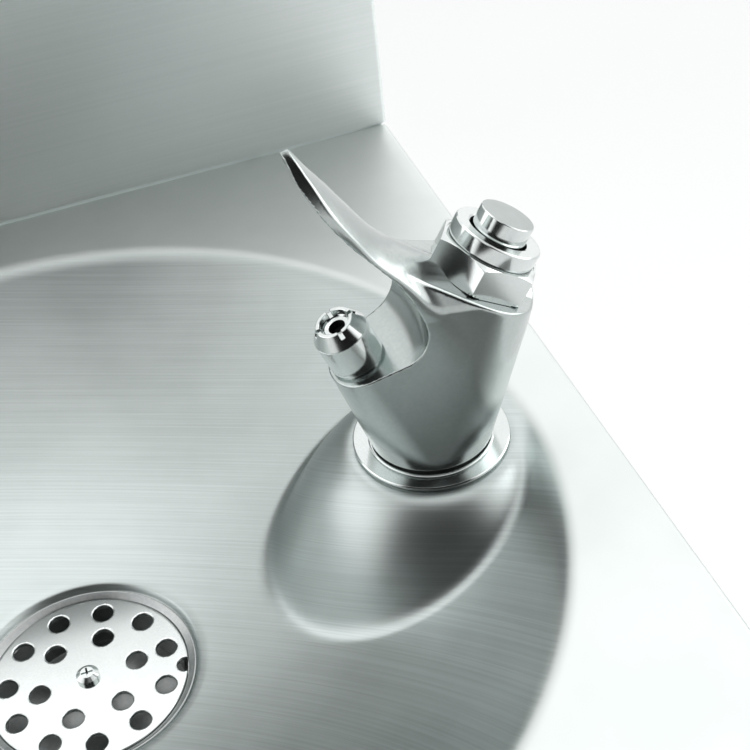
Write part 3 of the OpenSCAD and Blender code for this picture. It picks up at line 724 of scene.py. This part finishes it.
chamfer = [(17.6 - 2.4 * share, 7.7 + 1.3 * share) for share in np.linspace(0, 1, 14)]
nut_profile = [(0, -0.95), (15.9, -0.95), (16.7, -0.7), (17.6, -0.1)]
nut_profile += chamfer + [(14.4, 9.0), (14.3, 8.6), (0, 8.6)]
nut = turned("hex_nut_turned", ON_BUTTON, nut_profile, 0, 360, six_sides, 8)
dress(nut, polished, ["hex_nut"])
collar = turned("button_collar_turned", ON_BUTTON, [
    (9.35, 5.0), (13.3, 8.4), (13.9, 8.8), (13.9, 14.1), (13.45, 14.6), (10.0, 14.6), (9.35, 14.2),
    (9.35, 5.0),
], 0.2, 128)
dress(collar, polished, ["button_collar"])
button = turned("push_button_turned", ON_BUTTON, [
    (0, 3.4), (8.4, 3.4), (8.6, 6.0), (8.6, 20.2), (8.3, 20.55), (6.0, 20.62), (3.0, 20.66), (0, 20.67),
], 0.15, 128)
dress(button, polished, ["push_button"], "button")
second_finish(button, button_face, ON_BUTTON, lambda r, z: z > 20.5)

# ---------------------------------------------------------------- valve
# The self-closing valve inside the casting: a brass cartridge with its O-ring, a steel stem with a
# rubber seal, and the coil spring that returns the button.

brass_paint = metal_paint((0.62, 0.44, 0.18), (0.74, 0.55, 0.26), 0.28, 0.14, 60, 0.00001)
brass = finish_with("brass", brass_paint, Metallic=1.0)
keep(brass, "valve_cartridge")
keep(dull_steel, "valve_stem", "return_spring")
keep(rubber, "valve_seal", "cartridge_o_ring")

# ---------------------------------------------------------------- bubbler fixing
# A flat flange ring lies on the dome, with a thin raised lip and a black gasket under the casting.
# A threaded brass shank with a washer and a nut clamps them all to the sheet.

ON_BUBBLER = Place(BUBBLER)
flange = turned("flange_ring_turned", ON_BUBBLER, [
    (9, -1.9), (24.7, -1.9), (24.7, -1.3), (25.35, -1.15), (25.4, -0.35), (25.05, 0), (20.4, 0),
    (20.2, 0.1), (20.1, 0.35), (19.7, 0.42), (18.6, 0.3), (9, 0.3), (9, -1.9),
], 0.12, 160)
dress(flange, polished, ["flange_ring"])
gasket_profile = [(9, 0.2), (18.1, 0.2), (18.2, 0.5), (18.1, 1.7), (9, 1.7), (9, 0.2)]
gasket = turned("base_gasket_ring", ON_BUBBLER, gasket_profile, 0.1, 128)
dress(gasket, rubber, ["base_gasket"])
keep(brass, "shank", "shank_nut")
keep(dull_steel, "shank_washer")

# ---------------------------------------------------------------- housing
# The folded stainless apron and its access cover, the rail across its back and the bracket on the
# wall that the rail hangs on, with their screws.

plain_paint = sheet_paint((0.42, 0.455, 0.445), (0.48, 0.515, 0.505))
sheet_plain = finish_with("sheet_plain", plain_paint, Metallic=1.0)
keep(sheet_plain, "apron", "access_cover")
keep(polished, "cover_screws", "rail_screws")
keep(dull_steel, "hanger_rail", "wall_bracket")

# ---------------------------------------------------------------- water supply
# Chromed tube with brass compression fittings, from the stop valve at the wall, through the
# regulator that sets the jet's height, to the elbow under the bubbler.

chrome_paint = metal_paint((0.76, 0.78, 0.78), (0.82, 0.83, 0.83), 0.08, 0.05, 40, 0.000002)
chrome = finish_with("chrome", chrome_paint, Metallic=1.0)
keep(brass, "inlet_elbow", "compression_nuts", "regulator_body", "stop_valve_stem")
keep(dull_steel, "regulator_screw", "handle_screw")
keep(chrome, "supply_tube_upper", "supply_tube_lower")
keep(chrome, "stop_valve_body", "stop_valve_bonnet", "stop_valve_handle")

# ---------------------------------------------------------------- waste
# A chromed slip-jointed trap under the drain: tailpiece, bend and arm with slip nuts and rubber
# washers. A brass nut and a rubber gasket clamp the drain body to the basin.

keep(chrome, "tailpiece", "slip_nuts", "trap_bend", "trap_arm")
keep(brass, "drain_lock_nut")
keep(rubber, "drain_gasket", "slip_washers")

# ---------------------------------------------------------------- studio
# Soft light from a white room that is brightest behind the object, with a dark opening at the
# front, over a plain pale floor.

scene = bpy.context.scene
scene.view_settings.view_transform = "Standard"
floor_points = np.array([(-1, -1, 0), (1, -1, 0), (1, 1, 0), (-1, 1, 0)]) * 9000 + [0, 0, -860.0]
floor = mesh("floor", floor_points, [[0, 1, 2, 3]])
floor_finish = finish_with("floor_finish", lambda: {
    "Base Color": shade((0.90, 0.91, 0.91), (0.94, 0.95, 0.95), noise(own_place(), 2.0)),
    "Emission Color": shade((0.97, 0.98, 0.98), (1.0, 1.0, 1.0), noise(own_place(), 2.0)),
}, Roughness=0.8, Emission_Strength=0.06)
floor.data.materials.append(floor_finish)


def softbox(name, at, width, height, power):
    """A soft rectangular light that faces the bowl."""
    data = bpy.data.lights.new(name, "AREA")
    data.shape = "RECTANGLE"
    data.size, data.size_y, data.energy = width, height, power
    light = bpy.data.objects.new(name, data)
    light.location = at
    light.rotation_mode = "QUATERNION"
    light.rotation_quaternion = (Vector(BOWL * MM) - Vector(at)).to_track_quat("-Z", "Y")
    scene.collection.objects.link(light)


softbox("soft_top", (0.2, 0.6, 2.0), 1.6, 1.2, 4)
softbox("soft_right", (1.5, -0.2, 0.7), 0.9, 1.2, 5)

azimuth, elevation, roll = np.radians([-14.847, 40.513, -6.924])
world = bpy.data.worlds.new("studio")
scene.world = world
world.use_nodes = True
Val.tree = world.node_tree
sky = Val.node("ShaderNodeTexCoord", {}, {}, "Generated")
across, deep, height = [Val.node("ShaderNodeSeparateXYZ", {}, {0: sky}, axis) for axis in "XYZ"]
level_length = Val.maths("SQRT", across * across + deep * deep + 0.0001)
frontal = (across * float(np.sin(azimuth)) + deep * float(-np.cos(azimuth))) / level_length
opening = frontal.step(0.56, 0.70) * height.step(0.0, 0.10) * (1 - height.step(0.88, 0.95))
behind = (0 - frontal).step(0.1, 0.95)
beside = (1 - frontal * frontal).step(0.55, 0.95) * (1 - height.step(0.5, 0.9))
glow = (0.90 + 0.32 * behind + 0.75 * beside) * (1 - 0.985 * opening)
background = next(n for n in world.node_tree.nodes if n.type == "BACKGROUND")
Val.feed(background.inputs["Color"], shade((0, 0, 0), (1.0, 1.0, 1.0), glow / 2))
background.inputs["Strength"].default_value = 2.0

camera_data = bpy.data.cameras.new("camera")
camera_data.sensor_width = 36
camera_data.lens = 68.983
camera_data.clip_start = 0.01
camera = bpy.data.objects.new("camera", camera_data)
scene.collection.objects.link(camera)
back_axis = np.array([
    np.sin(azimuth) * np.cos(elevation),
    -np.cos(azimuth) * np.cos(elevation),
    np.sin(elevation),
])
level = np.array([np.cos(azimuth), np.sin(azimuth), 0])
upright = np.cross(back_axis, level)
right_axis = np.cos(roll) * level + np.sin(roll) * upright
up_axis = -np.sin(roll) * level + np.cos(roll) * upright
spot = (BOWL + [24.6, -321.6, 316.2]) * MM
rows = [[right_axis[i], up_axis[i], back_axis[i], spot[i]] for i in range(3)]
camera.matrix_world = Matrix(rows + [[0, 0, 0, 1]])
scene.camera = camera
